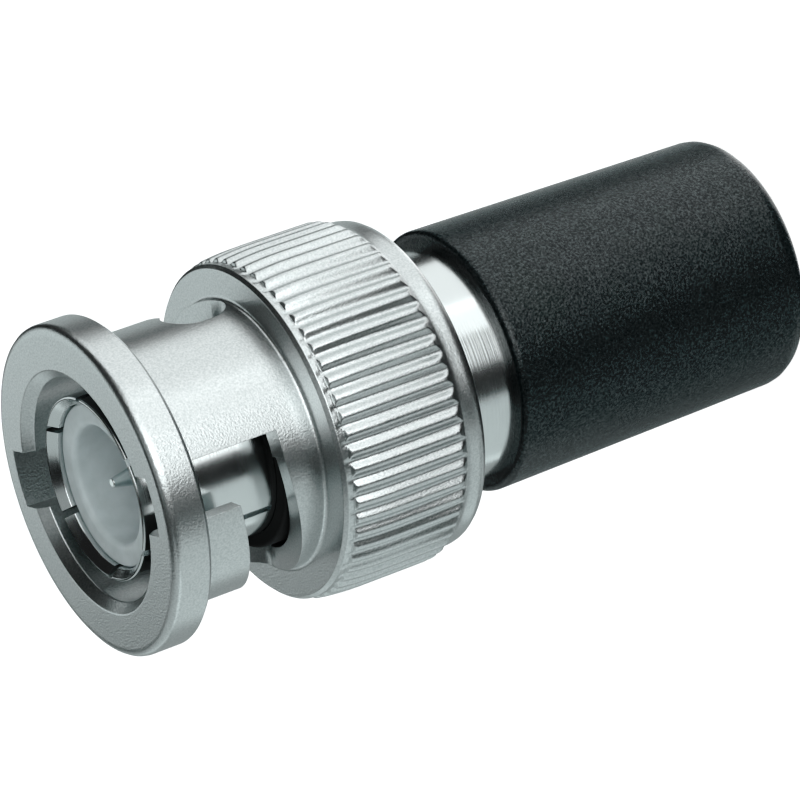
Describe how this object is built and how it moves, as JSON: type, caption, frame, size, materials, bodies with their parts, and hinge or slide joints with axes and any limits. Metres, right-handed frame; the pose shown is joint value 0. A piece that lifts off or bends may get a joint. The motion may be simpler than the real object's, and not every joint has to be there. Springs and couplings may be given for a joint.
{
  "type": "coaxial bayonet terminator",
  "caption": "Coaxial bayonet plug terminator: nickel-plated coupling nut with cam slots and a barred grip ring, slotted contact sleeve, and a drafted black end cap over the resistor.",
  "frame": {"origin": "middle of the end cap's flat rear face, on the connector's axis", "axes": "+Z along the axis from the end cap to the plug's open front, +X towards the side that faces the camera in the picture, +Y at right angles to both"},
  "size_m": [0.0154, 0.0154, 0.0334],
  "materials": {
    "nickel_casting": "satin nickel plate on a die casting, fine grain",
    "bright_nickel": "bright nickel plate on turned brass",
    "white_plastic": "smooth, slightly translucent white",
    "black_plastic": "black, fine spark-eroded texture",
    "black_rubber": "matt black",
    "spring_steel": "plain rolled strip",
    "bare_brass": "turned, unplated",
    "resistor_lacquer": "gloss lacquer",
    "tinned_metal": "tin plate",
    "shrink_tube": "black shrink tube",
    "solder": "bright solder"
  },
  "bodies": {
    "plug": {"plug_body": "bright_nickel", "outer_contact": "bright_nickel", "insulator": "white_plastic", "center_pin": "bright_nickel", "gasket": "black_rubber", "wave_washer": "spring_steel", "end_cap": "black_plastic", "ground_plug": "bare_brass", "resistor_core": "resistor_lacquer", "resistor_cap_front": "tinned_metal", "resistor_cap_rear": "tinned_metal", "resistor_lead_front": "tinned_metal", "resistor_lead_rear": "tinned_metal", "resistor_sleeve": "shrink_tube", "solder_front": "solder", "solder_rear": "solder"},
    "washer": {"thrust_washer": "spring_steel"},
    "nut": {"coupling_nut": "nickel_casting", "retaining_ring": "spring_steel"}
  },
  "joints": [
    {"name": "spring_travel", "type": "slide", "parent": "plug", "child": "washer", "axis": [0, 0, 1], "range_m": [0, 0.0007], "stiffness_N_per_m": 15000, "deforming": ["wave_washer"]},
    {"name": "nut_turn", "type": "hinge", "parent": "washer", "child": "nut", "pos_m": [0, 0, 0.025], "axis": [0, 0, 1], "continuous": true}
  ]
}
